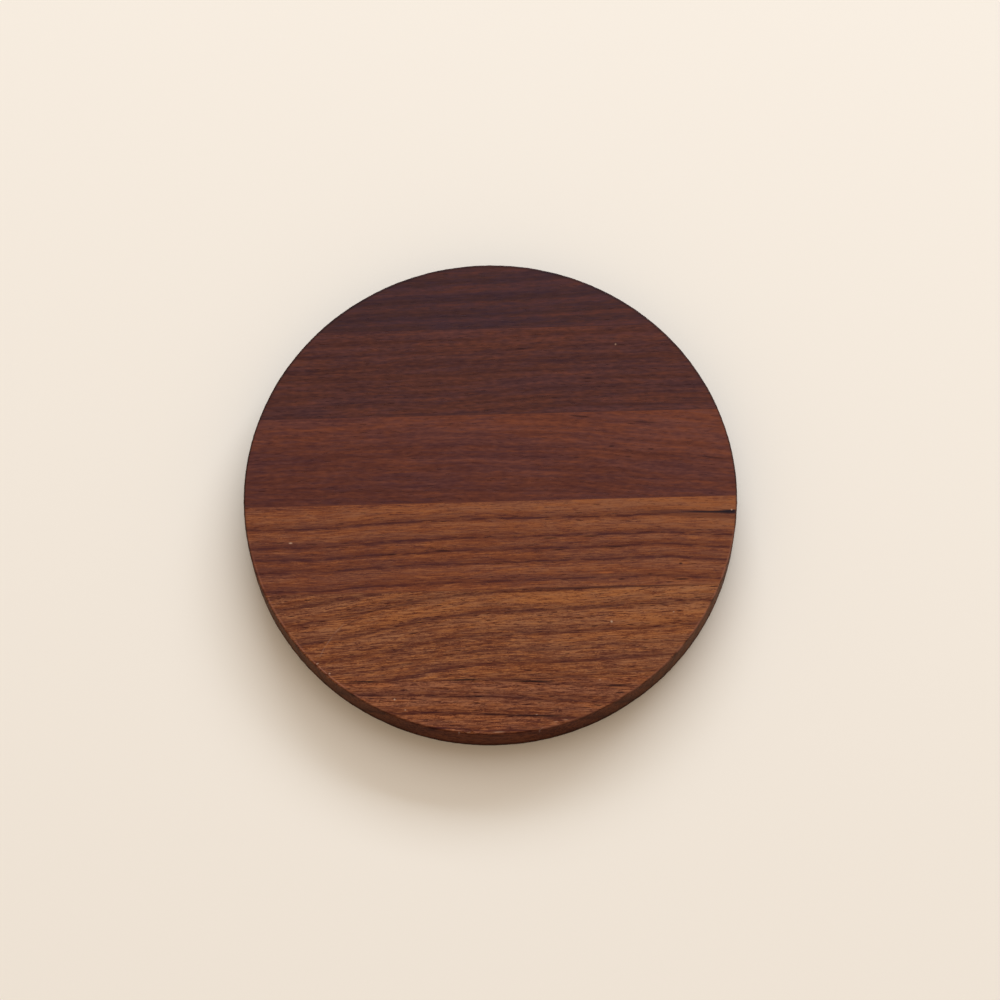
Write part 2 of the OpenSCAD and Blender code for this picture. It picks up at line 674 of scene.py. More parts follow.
FOURTH_WOOD = WoodFinish(
    shade=(87, 49, 41), ground=(115, 67, 47), glow=(141, 88, 57), line=(72, 40, 38), pore=(62, 35, 31),
    bend=((-52, -1.0), (-42, -1.25), (-35, -1.3), (-28, -0.8), (-12, -0.25), (0, 0), (25, 0.1), (33, 0.3),
          (40, -0.1), (52, -1.0)),
    tone=((-20, 0.54), (-17, 0.54), (-15.8, 0.6), (-12.5, 0.5), (-9, 0.54), (-7, 0.72), (-5, 0.62),
          (-3.8, 0.7), (-2.2, 0.84), (-1, 0.6)),
    drift=0.12,
    lines=((0.9, 0.2), (-5.0, 1.0), (-8.9, 1.0), (-11.5, 0.95), (-14.2, 0.95), (-18.1, 0.95)),
    line_width=0.37, line_depth=0.97, lean=0.25, waver=0.35,
    band=0.2, streak=0.4, dapple=0.12, fibre=0.6, fleck=0.7, speck=0.6,
    hue=0.8, pores=0.7, pores_kept=0.6, seed=131.0,
    marks=(
        Mark(43.0, -5.5, 10.5, 0.75, 0.8, -4.0, (112, 66, 46)),
        Mark(36.5, -4.45, 8.5, 0.5, 0.6, -1.7, (78, 48, 44)),
        Mark(44.5, -4.7, 7.5, 0.34, 0.9, -1.8, VEIN), Mark(48.9, -4.75, 4.6, 0.62, 1.0, -1.0, VEIN),
        Mark(-10.0, -11.5, 2.4, 0.2), Mark(12.0, -9.4, 2.2, 0.18), Mark(20.0, -9.2, 2.2, 0.18),
        Mark(13.5, -11.9, 1.8, 0.16), Mark(24.5, -11.6, 3.8, 0.17), Mark(26.0, -18.4, 0.9, 0.2),
        Mark(38.0, -18.7, 2.2, 0.22), Mark(38.0, -15.4, 0.5, 0.25), Mark(-20.0, -12.0, 1.4, 0.2),
        Mark(23.0, -16.9, 2.2, 0.28, 0.6, 0.0, (165, 95, 55)), Mark(-40.5, -9.1, 0.5, 0.22, 0.9, 0.0, PALE),
        Mark(48.7, -4.35, 0.25, 0.22, 0.8, 0.0, PALE),
        Mark(22.0, -19.85, 24.0, 0.16, 0.6, 0.0, (60, 36, 34)),
    ),
)

FIFTH_WOOD = WoodFinish(
    shade=(90, 50, 37), ground=(123, 74, 49), glow=(153, 99, 62), line=(76, 41, 35), pore=(62, 33, 28),
    bend=((-52, -8.4), (-40, -6.1), (-30, -4.6), (-20, -2.8), (-10, -1.0), (-5, -0.4), (0, 0), (15, 0.1),
          (25, 0.6), (52, 1.7)),
    tone=((-48, 0.5), (-38, 0.5), (-35, 0.44), (-33, 0.54), (-29.5, 0.51), (-27.5, 0.6), (-24.8, 0.56),
          (-22.4, 0.7), (-20, 0.62), (-8, 0.65)),
    drift=0.15,
    lines=((-10.4, 0.8), (-14.0, 0.8), (-16.8, 0.9), (-20.3, 0.9), (-24.5, 0.9), (-29.2, 0.8), (-32.6, 0.5),
           (-35.3, 0.9), (-38.5, 0.7), (-42.0, 0.8)),
    line_width=0.4, line_depth=0.9, lean=-0.3, waver=0.5,
    band=0.2, streak=0.5, dapple=0.15, fibre=0.8, fleck=1.05, speck=1.2,
    hue=0.8, pores=1.0, pores_kept=0.85, seed=173.0,
    marks=(
        Mark(-26.0, -38.35, 4.5, 0.2), Mark(-6.0, -38.45, 4.6, 0.17, 0.9, 0.0, BLACK),
        Mark(-16.0, -28.6, 1.3, 0.16, 0.85, 10.0), Mark(23.7, -27.2, 0.3, 0.35, 0.9, 20, PALE),
        Mark(36.2, -25.5, 0.25, 0.15, 0.7, 0.0, PALE), Mark(-32.9, -36.5, 0.25, 0.2, 0.9, 0.0, PALE),
        Mark(-35.3, -34.4, 0.4, 0.2, 0.6, 20.0, PALE), Mark(-34.3, -32.0, 1.7, 0.16, 0.13, 64.0, SCRATCH),
        Mark(-33.0, -29.9, 2.0, 0.16, 0.13, 54.0, SCRATCH),
        Mark(-30.9, -27.3, 2.2, 0.16, 0.12, 45.0, SCRATCH),
        Mark(22.0, -20.12, 24.0, 0.14, 0.6, 0.0, (60, 36, 34)),
    ),
)

FRONT_WOOD = WoodFinish(
    shade=(88, 48, 36), ground=(124, 74, 50), glow=(150, 95, 62), line=(70, 37, 32), pore=(56, 30, 26),
    bend=((-52, 1.6), (-20, 0.8), (-10, 0.5), (0, 0), (10, -0.7), (20, -1.5), (30, -2.1), (52, -3.4)),
    # Past -50 mm the tone lies on the front side; its rise at -51.2 mm paints light on the side's middle
    tone=((-52.8, 0.42), (-51.2, 0.6), (-50, 0.42), (-48.8, 0.32), (-47.8, 0.34), (-46.6, 0.5), (-43, 0.54),
          (-39, 0.54)),
    drift=-0.08,
    lines=((-35.2, 0.8), (-38.75, 0.6), (-42.1, 1.0), (-45.75, 1.0), (-49.4, 0.3)),
    line_width=0.4, line_depth=0.9, lean=0.33, waver=0.5,
    band=0.1, streak=0.45, dapple=0.45, fibre=0.85, fleck=1.5, speck=1.5,
    hue=0.8, pores=1.0, pores_kept=0.95, seed=211.0,
    marks=(
        Mark(7.5, -39.15, 5.6, 0.25, 0.9, -2.0, BLACK), Mark(24.5, -40.4, 3.4, 0.25),
        Mark(-12.6, -45.05, 2.6, 0.2, 0.6), Mark(-0.3, -45.75, 3.6, 0.24, 0.75, -3.0),
        Mark(2.2, -49.15, 7.6, 0.36, 0.68, -0.3, MAROON), Mark(-5.5, -48.75, 4.4, 0.34, 0.7, -6.0, MAROON),
        Mark(-11.5, -48.3, 3.8, 0.34, 0.85, -2.0, MAROON), Mark(-3.2, -42.0, 1.4, 0.22, 0.8),
        Mark(-13.5, -45.0, 5.5, 0.3, 0.6, -1.0, MAROON), Mark(20.4, -44.4, 1.2, 0.2, 0.8, -8.0),
        Mark(12.0, -47.6, 0.6, 0.14, 0.35, 0.0, PALE), Mark(8.2, -46.0, 0.3, 0.13, 0.5, 0.0, PALE),
        Mark(14.0, -47.2, 0.7, 0.13, 0.3, 0.0, PALE), Mark(21.0, -39.2, 0.35, 0.16, 0.5, 0.0, PALE),
        Mark(0.6, -49.4, 1.6, 0.14, 0.5, 1.0, PALE),
        Mark(8.5, -46.25, 8.5, 0.26, 0.9, -2.2), Mark(25.0, -41.9, 1.5, 0.2),
        Mark(-20.0, -42.2, 0.25, 0.25, 0.9, 0.0, PALE), Mark(-7.3, -49.3, 0.3, 0.2, 0.8, 0.0, PALE),
        Mark(-5.4, -49.3, 0.6, 0.12, 0.5, 8.0, PALE), Mark(-17.9, -44.4, 0.25, 0.15, 0.7, 0.0, PALE),
        Mark(8.9, -49.05, 0.9, 0.1, 0.5, 35.0, SCRATCH),
    ),
)


@dataclass(frozen=True)
class GlueFinish:
    """Cured glue film, seen on edge and oiled over with the wood. Colours are as they show.

    Attributes:
        stained: the film, where it has taken the wood's colour.
        marks: where it shows dark.
    """

    stained: Colour
    marks: tuple[Mark, ...] = ()


@dataclass(frozen=True)
class Grain:
    """Places that a wood material is worked out from.

    Attributes:
        place: the place in mm.
        seeded: the place on the straightened grain, in the stave's own part of the noise.
        fibres: the same along the wood's fibres, which bend less than its growth lines.
        x: the place along the grain.
        level: the place across the straightened grain.
    """

    place: bpy.types.NodeSocket
    seeded: bpy.types.NodeSocket
    fibres: bpy.types.NodeSocket
    x: bpy.types.NodeSocket
    level: bpy.types.NodeSocket


class Woodshop:
    """Builds the effects once and turns each finish into a material."""

    # How dull the oiled wood is, and how much duller an open pore is, the rim's wood and the rim's glue
    roughness = 0.46
    pore_roughness = 0.16
    side_roughness = 0.35
    glue_side_roughness = 0.3
    specular = 0.06
    # The grey that the polish adds in linear light, and the least that is left when it is taken off
    sheen = 0.007
    darkest = 0.001
    # How deep the open pores are, and how much of that shows
    relief_mm = 0.05
    relief_strength = 0.6
    # How long, wide and deep the growth lines' slow, quick and quickest swaying is, and how far it goes
    wander_mm = (24.0, 7.0, 9.0)
    ripple_mm = (5.0, 1.5, 2.0)
    ripple = 0.16
    ragged_mm = (1.5, 0.5, 0.7)
    ragged = 0.1
    sway_octaves = 2.0
    # How far a bend's curve may reach past its points
    bend_room_mm = 0.5
    # How much of a growth line's halo shows
    halo_share = 0.45
    # How many years are added outside the known lines, and how strong the outermost ones are
    outer_years = 4
    outer_strength = 0.7
    # How much of the growth lines' bend the fibres follow
    fibre_bend = 0.3
    # The coarse pores: their cell, their size in it, and how many open on a growth line and off it
    coarse_cell_mm = (3.4, 0.42, 0.5)
    coarse_size = 0.32
    coarse_on_line = 0.9
    coarse_share = 0.2
    # The fine pores: their cell, their size in it, how many more open on a line, and how much they show
    fine_cell_mm = (2.1, 0.25, 0.3)
    fine_size = 0.4
    fine_on_line = 0.3
    fine_depth = 0.65
    # How deep a short mark goes
    mark_depth_mm = 3.0
    # What is laid over the rim, in order: the mask, how much of it shows, its colour and how it is laid
    rim_layers = (
        # Painted shade over the whole side
        ("Side", 1.0, (181, 173, 190), Blend.STAIN),
        ("End Grain", 0.26, (112, 93, 76), Blend.COVER),
        ("Dark Edge", 0.5, (105, 95, 100), Blend.STAIN),
        # Painted shade on the side, more of it towards the floor
        ("Foot", 0.88, (138, 128, 123), Blend.STAIN),
        ("Worn Edge", 0.75, (150, 96, 76), Blend.COVER),
    )

    def __init__(self, blank: "TurnedBlank") -> None:
        """Builds the shared effects.

        Args:
            blank: the turned disc that the wood is cut from.
        """
        self.blank = blank
        self.tone = FibreTone()
        self.hue = HueDrift()
        self.growth = GrowthLine()
        self.pores = Pores()
        self.mark = ShortMark()
        self.rim = RimShadeAndWear()

    def under_sheen(self, colour: Colour) -> tuple[float, float, float, float]:
        """Takes the polish's grey sheen off a colour that was read where it shows.

        Args:
            colour: the colour as it shows.

        Returns:
            The linear colour of the wood itself.
        """
        red, green, blue, alpha = linear(colour)
        bare = [max(part - self.sheen, self.darkest) for part in (red, green, blue)]
        return (bare[0], bare[1], bare[2], alpha)

    def place(self, board: Board) -> bpy.types.NodeSocket:
        """Reads the place on the object.

        Args:
            board: the material's board.

        Returns:
            The place in mm.
        """
        scale = board.place("ShaderNodeVectorMath", operation="SCALE")
        board.feed(scale.inputs[0], board.place("ShaderNodeTexCoord").outputs["Object"])
        board.feed(scale.inputs["Scale"], 1 / MM)
        return scale.outputs[0]

    def grain(self, board: Board, finish: WoodFinish) -> Grain:
        """Straightens the grain: X stays, and Y is measured from the bent growth lines.

        Args:
            board: the material's board.
            finish: the stave's finish.

        Returns:
            The places that the material is worked out from.
        """
        place = self.place(board)
        split = board.place("ShaderNodeSeparateXYZ")
        board.feed(split.inputs[0], place)
        x, y, z = split.outputs
        span = (finish.bend[0][0], finish.bend[-1][0])
        rises = [rise for _, rise in finish.bend]
        reach = (min(rises) - self.bend_room_mm, max(rises) + self.bend_room_mm)
        rise = board.curve(x, span, finish.bend, reach, rounded=True)
        depth = board.math("SUBTRACT", self.blank.thickness / MM, z)
        seed = (finish.seed, finish.seed, finish.seed)
        seeded = board.vector("ADD", place, seed)
        sways = []
        for size, most in ((self.wander_mm, finish.waver), (self.ripple_mm, self.ripple),
                           (self.ragged_mm, self.ragged)):
            cloud = board.cloud(board.vector("DIVIDE", seeded, size), self.sway_octaves)
            sways.append(board.math("MULTIPLY", board.math("SUBTRACT", cloud, 0.5), 2 * most))
        wander, ripple, ragged = sways
        steady = board.math("ADD", board.math("MULTIPLY", depth, finish.lean), wander)
        shaken = board.math("ADD", board.math("ADD", rise, steady), board.math("ADD", ripple, ragged))
        level = board.math("SUBTRACT", y, shaken)
        gentle = board.math("ADD", board.math("MULTIPLY", rise, self.fibre_bend), steady)
        straighter = board.math("SUBTRACT", y, gentle)
        flows = []
        for across in (level, straighter):
            joined = board.place("ShaderNodeCombineXYZ")
            board.feed(joined.inputs[0], x)
            board.feed(joined.inputs[1], across)
            board.feed(joined.inputs[2], z)
            flows.append(board.vector("ADD", joined.outputs[0], seed))
        return Grain(place, flows[0], flows[1], x, level)

    def growth_line(self, board: Board, finish: WoodFinish, grain: Grain) -> bpy.types.NodeSocket:
        """Draws the dark line that closes each year's growth.

        Args:
            board: the material's board.
            finish: the stave's finish.
            grain: the places on the grain.

        Returns:
            How dark the line is, from 0 to 1.
        """
        rising = sorted(finish.lines)
        pitch = (rising[-1][0] - rising[0][0]) / (len(rising) - 1)
        outer = self.outer_years
        low = rising[0][0] - outer * pitch
        high = rising[-1][0] + outer * pitch
        count = len(rising) - 1 + 2 * outer
        years = [(low, 0)] + [(y, outer + i) for i, (y, _) in enumerate(rising)] + [(high, count)]
        heights = [(year, y) for y, year in years]
        known = [(outer + i, strength) for i, (_, strength) in enumerate(rising)]
        strengths = [(0, self.outer_strength)] + known + [(count, self.outer_strength)]
        year = board.curve(grain.level, (low, high), tuple(years), (0, count), rounded=False)
        nearest = board.math("ROUND", year)
        centre = board.curve(nearest, (0, count), tuple(heights), (low, high), rounded=False)
        strength = board.curve(nearest, (0, count), tuple(strengths), (0, 1), rounded=False)
        away = board.math("SUBTRACT", grain.level, centre)
        drawn = board.group(self.growth.tree, Away=away, Half_Width=finish.line_width,
                            Flow=grain.fibres).outputs
        halo = board.math("MULTIPLY", drawn["Halo"], self.halo_share)
        return board.math("MULTIPLY", board.math("MAXIMUM", drawn["Line"], halo), strength)

    def ground(self, board: Board, finish: WoodFinish, grain: Grain) -> bpy.types.NodeSocket:
        """Colours the wood between the growth lines.

        Args:
            board: the material's board.
            finish: the stave's finish.
            grain: the places on the grain.

        Returns:
            The ground's colour.
        """
        span = (finish.tone[0][0], finish.tone[-1][0])
        tone = board.curve(grain.level, span, finish.tone, (0, 1), rounded=True)
        reach = self.blank.radius / MM
        drift = board.ramp(grain.x, -reach, reach, -finish.drift, finish.drift, smooth=False)
        tone = board.math("ADD", tone, drift)
        parts = board.group(self.tone.tree, Flow=grain.seeded, Fibres=grain.fibres).outputs
        shares = (("Band", finish.band), ("Streak", finish.streak), ("Dapple", finish.dapple),
                  ("Fibre", finish.fibre), ("Fleck", finish.fleck), ("Speck", finish.speck))
        for label, share in shares:
            tone = board.math("ADD", tone, board.math("MULTIPLY", parts[label], share))
        ramp = board.place("ShaderNodeValToRGB")
        board.feed(ramp.inputs[0], tone)
        ramp.color_ramp.elements[0].color = self.under_sheen(finish.shade)
        ramp.color_ramp.elements[1].color = self.under_sheen(finish.glow)
        ramp.color_ramp.elements.new(0.5).color = self.under_sheen(finish.ground)
        return ramp.outputs[0]

    def open_pores(self, board: Board, finish: WoodFinish, grain: Grain,
                   line: bpy.types.NodeSocket) -> bpy.types.NodeSocket:
        """Opens the pores, more of them near the growth lines.

        Args:
            board: the material's board.
            finish: the stave's finish.
            grain: the places on the grain.
            line: how dark the growth line is.

        Returns:
            How open the pore is, from 0 to 1.
        """
        on_line = board.math("MULTIPLY", line, self.coarse_on_line)
        bunched = board.math("ADD", on_line, finish.pores_kept * self.coarse_share)
        strewn = board.math("ADD", board.math("MULTIPLY", line, self.fine_on_line), finish.pores_kept)
        coarse = board.group(self.pores.tree, Flow=grain.fibres, Cell=self.coarse_cell_mm,
                             Size=self.coarse_size, Kept=bunched).outputs[0]
        fine = board.group(self.pores.tree, Flow=grain.fibres, Cell=self.fine_cell_mm,
                           Size=self.fine_size, Kept=strewn).outputs[0]
        return board.math("MAXIMUM", coarse, board.math("MULTIPLY", fine, self.fine_depth))

    def marked(self, board: Board, place: bpy.types.NodeSocket, colour: object,
               marks: tuple[Mark, ...]) -> object:
        """Lays short marks over a colour.

        Args:
            board: the material's board.
            place: the place in mm.
            colour: the colour below, as an output socket or a plain linear colour.
            marks: the marks, in order.

        Returns:
            The marked colour, or the colour as it was given if there are no marks.
        """
        top = self.blank.thickness / MM
        for mark in marks:
            mask = board.group(self.mark.tree, Place=place, Centre=(mark.x, mark.y, top),
                               Half_Size=(mark.half_length, mark.half_width, self.mark_depth_mm),
                               Turn=math.radians(mark.turn)).outputs[0]
            amount = board.math("MULTIPLY", mask, mark.strength)
            colour = board.lay(amount, colour, self.under_sheen(mark.colour))
        return colour

    def rims(self, board: Board, place: bpy.types.NodeSocket) -> bpy.types.NodeOutputs:
        """Places the rim's masks.

        Args:
            board: the material's board.
            place: the place in mm.

        Returns:
            The masks, by name.
        """
        return board.group(self.rim.tree, Place=place, Radius=self.blank.radius / MM,
                           Thickness=self.blank.thickness / MM).outputs

    def shaded_and_worn(self, board: Board, rim: bpy.types.NodeOutputs, colour: object) -> bpy.types.NodeSocket:
        """Paints shade on the side and foot, darkens the back edge, and lightens the worn front edge.

        Args:
            board: the material's board.
            rim: the rim's masks.
            colour: the colour below.

        Returns:
            The colour with its rim.
        """
        for label, share, hue, blend in self.rim_layers:
            colour = board.lay(board.math("MULTIPLY", rim[label], share), colour, linear(hue), blend)
        return colour

    def start(self, name: str) -> tuple[Board, bpy.types.Node, bpy.types.Material]:
        """Starts a material.

        Args:
            name: the material's name.

        Returns:
            Its board, its shader and the material.
        """
        material = bpy.data.materials.new(name)
        material.use_nodes = True
        shader = material.node_tree.nodes["Principled BSDF"]
        shader.inputs["Specular IOR Level"].default_value = self.specular
        return Board(material.node_tree), shader, material

    def wood(self, name: str, finish: WoodFinish) -> bpy.types.Material:
        """Builds one stave's material.

        Args:
            name: the material's name.
            finish: the stave's finish.

        Returns:
            The finished material.
        """
        board, shader, material = self.start(name)
        grain = self.grain(board, finish)
        line = self.growth_line(board, finish, grain)
        colour = self.ground(board, finish, grain)
        lined = board.math("MULTIPLY", line, finish.line_depth)
        colour = board.lay(lined, colour, self.under_sheen(finish.line))
        pore = self.open_pores(board, finish, grain, line)
        pitted = board.math("MULTIPLY", pore, finish.pores)
        colour = board.lay(pitted, colour, self.under_sheen(finish.pore))
        stain = board.group(self.hue.tree, Flow=grain.seeded).outputs[0]
        colour = board.lay(finish.hue, colour, stain, Blend.STAIN)
        colour = self.marked(board, grain.place, colour, finish.marks)
        rim = self.rims(board, grain.place)
        board.feed(shader.inputs["Base Color"], self.shaded_and_worn(board, rim, colour))
        rough = board.math("ADD", board.math("MULTIPLY", pore, self.pore_roughness), self.roughness)
        rougher = board.math("MULTIPLY", rim["Side"], self.side_roughness)
        board.feed(shader.inputs["Roughness"], board.math("ADD", rough, rougher))
        bump = board.place("ShaderNodeBump")
        board.feed(bump.inputs["Height"], board.math("MULTIPLY", pore, -1.0))
        bump.inputs["Distance"].default_value = self.relief_mm * MM
        bump.inputs["Strength"].default_value = self.relief_strength
        board.feed(shader.inputs["Normal"], bump.outputs[0])
        return material

    def film(self, name: str, finish: GlueFinish) -> bpy.types.Material:
        """Builds one glue film's material.

        Args:
            name: the material's name.
            finish: the film's finish.

        Returns:
            The finished material.
        """
        board, shader, material = self.start(name)
        place = self.place(board)
        colour = self.marked(board, place, self.under_sheen(finish.stained), finish.marks)
        rim = self.rims(board, place)
        board.feed(shader.inputs["Base Color"], self.shaded_and_worn(board, rim, colour))
        rougher = board.math("MULTIPLY", rim["Side"], self.glue_side_roughness)
        board.feed(shader.inputs["Roughness"], board.math("ADD", rougher, self.roughness))
        return material


@dataclass(frozen=True)
class Nick:
    """A small dent in the upper edge.

    Attributes:
        bearing: its place round the rim, in degrees from +X.
        half_width: half its width along the rim, in metres.
        depth: how far it goes in, in metres.
    """

    bearing: float
    half_width: float
    depth: float


@dataclass
class TurnedBlank:
    """The glued disc as it is turned, before it is told apart into its pieces.

    Attributes:
        radius: the disc's radius in metres.
        thickness: its thickness in metres.
        arris: the radius of its two softened edges in metres.
        segments: the straight pieces round its rim.
        arris_steps: the straight pieces across each softened edge.
        belt: where loops run round the side near its softened edges, in times the edge's radius.
        unevenness: how far hand sanding has taken the rim in, in metres.
        least_sanding: the share of it that is taken off everywhere.
        coarse_wave: the length of its slow waves in metres.
        coarse_share: how much they add.
        fine_wave: the length of its quick waves in metres.
        fine_share: how much they add.
        slump: how far a dent goes down for how far it goes in.
        nicks: the dents in its upper edge.
        turned: the turned disc, closed, with its underside at zero height.
    """

    radius: float
    thickness: float
    arris: float = 0.45 * MM
    segments: int = 1440
    arris_steps: int = 5
    belt: float = 1.6
    unevenness: float = 0.08 * MM
    least_sanding: float = 0.4
    coarse_wave: float = 6 * MM
    coarse_share: float = 0.6
    fine_wave: float = 0.9 * MM
    fine_share: float = 0.5
    slump: float = 0.5
    nicks: tuple[Nick, ...] = (
        Nick(-95.8, 0.9 * MM, 0.28 * MM),
        Nick(-97.6, 0.5 * MM, 0.18 * MM),
        Nick(-132.0, 0.4 * MM, 0.2 * MM),
        Nick(-135.6, 0.5 * MM, 0.22 * MM),
        Nick(-62.0, 0.5 * MM, 0.12 * MM),
    )
    turned: bmesh.types.BMesh = field(init=False)

    def __post_init__(self) -> None:
        """Turns the disc."""
        self.turned = self.turn()

    def turn(self) -> bmesh.types.BMesh:
        """Turns the disc.

        Returns:
            A closed mesh with its underside at zero height.
        """
        disc = bmesh.new()
        bmesh.ops.create_circle(disc, cap_ends=True, segments=self.segments, radius=self.radius)
        raised = bmesh.ops.extrude_face_region(disc, geom=disc.faces[:], use_keep_orig=True)
        lifted = [part for part in raised["geom"] if isinstance(part, bmesh.types.BMVert)]
        bmesh.ops.translate(disc, verts=lifted, vec=(0, 0, self.thickness))
        bmesh.ops.recalc_face_normals(disc, faces=disc.faces[:])
        corners = [edge for edge in disc.edges if abs(edge.verts[0].co.z - edge.verts[1].co.z) < self.arris]
        bmesh.ops.bevel(disc, geom=corners, offset=self.arris, offset_type="OFFSET", affect="EDGES",
                        segments=self.arris_steps, profile=0.5, material=-1, clamp_overlap=True)
        belt = self.arris * self.belt
        for height in (belt, self.thickness / 2, self.thickness - belt):
            everything = disc.verts[:] + disc.edges[:] + disc.faces[:]
            bmesh.ops.bisect_plane(disc, geom=everything, plane_co=(0, 0, height), plane_no=(0, 0, 1))
        self.sand(disc)
        return disc

    def sand(self, disc: bmesh.types.BMesh) -> None:
        """Takes the rim in a little unevenly, as sanding by hand does, and dents its upper edge.

        Args:
            disc: the turned disc.
        """
        for vert in disc.verts:
            across = math.hypot(vert.co.x, vert.co.y)
            corner = across - (self.radius - self.arris)
            if corner <= 0:
                continue
            coarse = self.coarse_share * noise.noise(vert.co / self.coarse_wave)
            fine = self.fine_share * noise.noise(vert.co / self.fine_wave)
            sanded = max(0.0, self.least_sanding - coarse - fine)
            inward = self.unevenness * sanded * corner / self.arris
            down = 0.0
            bearing = math.atan2(vert.co.y, vert.co.x)
            below = (self.thickness - vert.co.z) / (2 * self.arris)
            for nick in self.nicks:
                turn = math.remainder(bearing - math.radians(nick.bearing), math.tau)
                share = abs(turn) * self.radius / nick.half_width
                if share < 1 and below < 1:
                    bite = nick.depth * (1 - share * share) * (1 - below)
                    inward += bite
                    down += bite * self.slump
            vert.co.x -= inward * vert.co.x / across
            vert.co.y -= inward * vert.co.y / across
            vert.co.z -= down

    def piece(self, name: str, front: float, back: float) -> bpy.types.Object:
        """Cuts the piece between two planes across Y out of the disc.

        Args:
            name: the piece's name.
            front: Y of its front face in metres.
            back: Y of its back face in metres.

        Returns:
            The piece as a new object.
        """
        disc = self.turned.copy()
        for y, facing in ((front, -1.0), (back, 1.0)):
            if abs(y) >= self.radius:
                continue
            everything = disc.verts[:] + disc.edges[:] + disc.faces[:]
            cut = bmesh.ops.bisect_plane(disc, geom=everything, plane_co=(0, y, 0), plane_no=(0, facing, 0),
                                         clear_outer=True)
            rim = [part for part in cut["geom_cut"] if isinstance(part, bmesh.types.BMEdge)]
            bmesh.ops.edgeloop_fill(disc, edges=rim)
        bmesh.ops.recalc_face_normals(disc, faces=disc.faces[:])
        for face in disc.faces:
            face.smooth = abs(face.normal.z) < FLAT and len(face.verts) <= 4
        mesh = bpy.data.meshes.new(name)
        disc.to_mesh(mesh)
        disc.free()
        piece = bpy.data.objects.new(name, mesh)
        bpy.context.scene.collection.objects.link(piece)
        return piece


@dataclass
class Coaster:
    """The whole coaster, back to front.

    Attributes:
        blank: the turned disc.
        shop: what makes the materials.
        staves: each stave's node and the finish of its wood.
        films: each glue film's node and its finish.
    """

    blank: TurnedBlank
    shop: Woodshop
    staves: dict[str, WoodFinish] = field(default_factory=lambda: {
        "back_stave": BACK_WOOD,
        "second_stave": SECOND_WOOD,
        "third_stave": THIRD_WOOD,
        "fourth_stave": FOURTH_WOOD,
        "fifth_stave": FIFTH_WOOD,
        "front_stave": FRONT_WOOD,
    })
    films: dict[str, GlueFinish] = field(default_factory=lambda: {
        "glue_line_1": GlueFinish((66, 43, 43)),
        "glue_line_2": GlueFinish((80, 48, 43)),
        "glue_line_3": GlueFinish((98, 56, 44)),
        "glue_line_4": GlueFinish((100, 58, 43), (Mark(24.0, -20.0, 26.0, 0.5, 0.8, 0.0, (62, 37, 34)),)),
        "glue_line_5": GlueFinish((92, 52, 38), (
            Mark(-26.0, -38.65, 5.0, 0.5), Mark(-6.0, -38.65, 5.0, 0.5), Mark(7.0, -38.65, 6.0, 0.5),
            Mark(24.0, -38.65, 5.0, 0.5, 0.5),
        )),
    })

    def cut(self, node: str, material: bpy.types.Material, slot: str) -> bpy.types.Object:
        """Cuts one piece where its CAD node is and dresses it.

        Args:
            node: the CAD node that the piece stands for.
            material: the piece's finish.
            slot: the record's material slot; not used.

        Returns:
            The finished piece.
        """
        low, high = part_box(node)
        edge = self.blank.radius - self.blank.arris
        front = -self.blank.radius if low.y < -edge else low.y
        back = self.blank.radius if high.y > edge else high.y
        piece = self.blank.piece(f"{node}_piece", front, back)
        piece.data.materials.append(material)
        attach(piece, BODY)
        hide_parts(node)
        LOG.info("%s: %d faces", piece.name, len(piece.data.polygons))
        return piece

    def build(self) -> None:
        """Cuts and dresses every stave and every glue film."""
        for node, finish in self.staves.items():
            self.cut(node, self.shop.wood(f"{node}_oiled", finish), f"{node}_wood")
        for node, finish in self.films.items():
            self.cut(node, self.shop.film(f"{node}_cured", finish), "glue")


@dataclass(frozen=True)
class SoftLight:
    """A large panel of light that faces the disc from behind it.

    Attributes:
        name: the light's name.
        distance: from the disc, in metres.
        elevation: its height angle in degrees.
        azimuth: its turn from straight behind, towards the right, in degrees.
        width: its width in metres.
        height: its height in metres.
        power: its power in watts.
        tint: its colour.
    """

    name: str
    distance: float
    elevation: float
    azimuth: float
    width: float
    height: float
    power: float
    tint: tuple[float, float, float] = (0.74, 0.862, 1.0)

    def hang(self) -> None:
        """Adds the light to the scene."""
        data = bpy.data.lights.new(self.name, "AREA")
        data.shape = "RECTANGLE"
        data.size = self.width
        data.size_y = self.height
        data.energy = self.power
        data.color = self.tint
        light = bpy.data.objects.new(self.name, data)
        rise = math.radians(self.elevation)
        turn = math.radians(self.azimuth)
        away = Vector((math.sin(turn) * math.cos(rise), math.cos(turn) * math.cos(rise), math.sin(rise)))
        light.location = away * self.distance
        light.rotation_euler = away.to_track_quat("Z", "Y").to_euler()
        bpy.context.scene.collection.objects.link(light)


WINDOW = SoftLight("window", distance=2.0, elevation=27.6, azimuth=14.4, width=2.1, height=0.55, power=37.4)
OVERHEAD = SoftLight("overhead", distance=2.0, elevation=56.3, azimuth=13.2, width=2.5, height=2.0,
                     power=16.9)


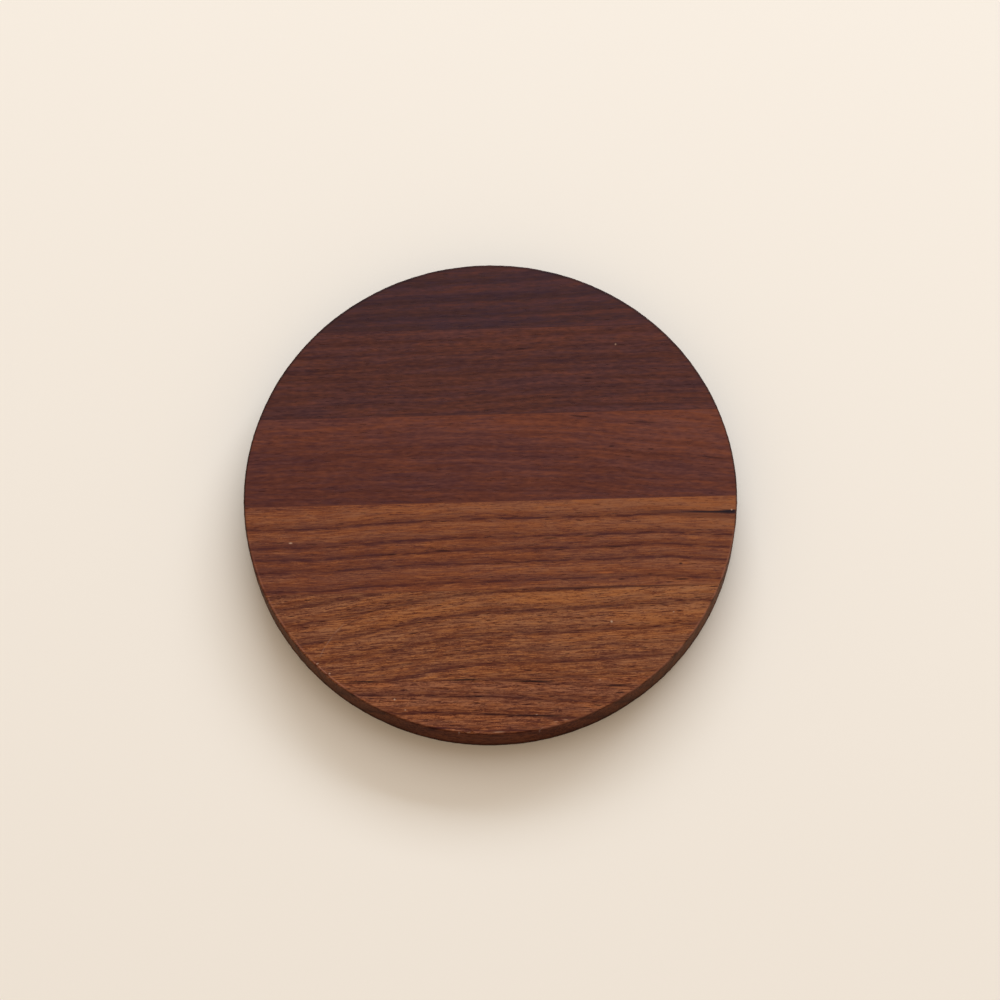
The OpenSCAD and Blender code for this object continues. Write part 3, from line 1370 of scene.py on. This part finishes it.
@dataclass
class Studio:
    """Plain floor, soft light from the back and a camera at the photograph's angle.

    Attributes:
        target: where the camera looks, in metres.
        distance: from the camera to the middle of the disc's top, in metres.
        elevation: the camera's height angle in degrees.
        azimuth: the camera's turn to the right of straight in front, in degrees.
        roll: the camera's roll in degrees.
        lens: the focal length in mm.
        sensor: the sensor's width in mm.
        near: the nearest distance that the camera sees, in metres.
        floor_colour: the floor as it shows in full light.
        floor_half: half the floor's width in metres.
        floor_roughness: how dull the floor is.
        floor_specular: how much it mirrors.
        lamps: the soft lights.
        sky: the strength of the even light from all round.
        sky_colour: its linear colour.
    """

    target: Vector
    distance: float = 0.7725
    elevation: float = 72.19
    azimuth: float = 1.0
    roll: float = 1.958
    lens: float = 137.38
    sensor: float = 36.0
    near: float = 0.01
    floor_colour: Colour = (243, 233, 221)
    floor_half: float = 4.0
    floor_roughness: float = 0.8
    floor_specular: float = 0.1
    lamps: tuple[SoftLight, ...] = (WINDOW, OVERHEAD)
    sky: float = 0.543
    sky_colour: tuple[float, float, float, float] = (0.99, 0.83, 0.635, 1.0)

    def camera(self, centre: Vector) -> None:
        """Sets the camera.

        Args:
            centre: the middle of the disc's top.
        """
        data = bpy.data.cameras.new("photo_camera")
        data.lens = self.lens
        data.sensor_width = self.sensor
        data.clip_start = self.near
        camera = bpy.data.objects.new("photo_camera", data)
        rise = math.radians(self.elevation)
        turn = math.radians(self.azimuth)
        away = Vector((math.sin(turn) * math.cos(rise), -math.cos(turn) * math.cos(rise), math.sin(rise)))
        camera.location = centre + away * self.distance
        aim = (self.target - camera.location).to_track_quat("-Z", "Y").to_matrix()
        spun = aim @ Matrix.Rotation(-math.radians(self.roll), 3, "Z")
        camera.rotation_euler = spun.to_euler()
        bpy.context.scene.collection.objects.link(camera)
        bpy.context.scene.camera = camera

    def floor(self) -> None:
        """Lays the plain pale floor."""
        sheet = bmesh.new()
        bmesh.ops.create_grid(sheet, x_segments=1, y_segments=1, size=self.floor_half)
        mesh = bpy.data.meshes.new("floor")
        sheet.to_mesh(mesh)
        sheet.free()
        floor = bpy.data.objects.new("floor", mesh)
        bpy.context.scene.collection.objects.link(floor)
        material = bpy.data.materials.new("pale_floor")
        material.use_nodes = True
        shader = material.node_tree.nodes["Principled BSDF"]
        shader.inputs["Base Color"].default_value = linear(self.floor_colour)
        shader.inputs["Roughness"].default_value = self.floor_roughness
        shader.inputs["Specular IOR Level"].default_value = self.floor_specular
        mesh.materials.append(material)

    def lights(self) -> None:
        """Hangs the soft lights and sets the even light from all round."""
        for lamp in self.lamps:
            lamp.hang()
        world = bpy.data.worlds.new("even_light")
        world.use_nodes = True
        sky = world.node_tree.nodes["Background"]
        sky.inputs["Color"].default_value = self.sky_colour
        sky.inputs["Strength"].default_value = self.sky
        bpy.context.scene.world = world

    def build(self, centre: Vector) -> None:
        """Builds the whole studio.

        Args:
            centre: the middle of the disc's top.
        """
        self.floor()
        self.lights()
        self.camera(centre)
        view = bpy.context.scene.view_settings
        view.view_transform = "Standard"


def main() -> None:
    """Builds the coaster and its studio."""
    logging.basicConfig(level=logging.INFO, format="%(name)s: %(message)s")
    low, high = (Vector(corner) for corner in CAD_BOX)
    blank = TurnedBlank(radius=min(high.x, high.y, -low.x, -low.y), thickness=high.z)
    Coaster(blank, Woodshop(blank)).build()
    blank.turned.free()
    top = Vector((0.0, 0.0, blank.thickness))
    Studio(target=top + AIM_MM * MM).build(top)


if __name__ == "__main__":
    main()
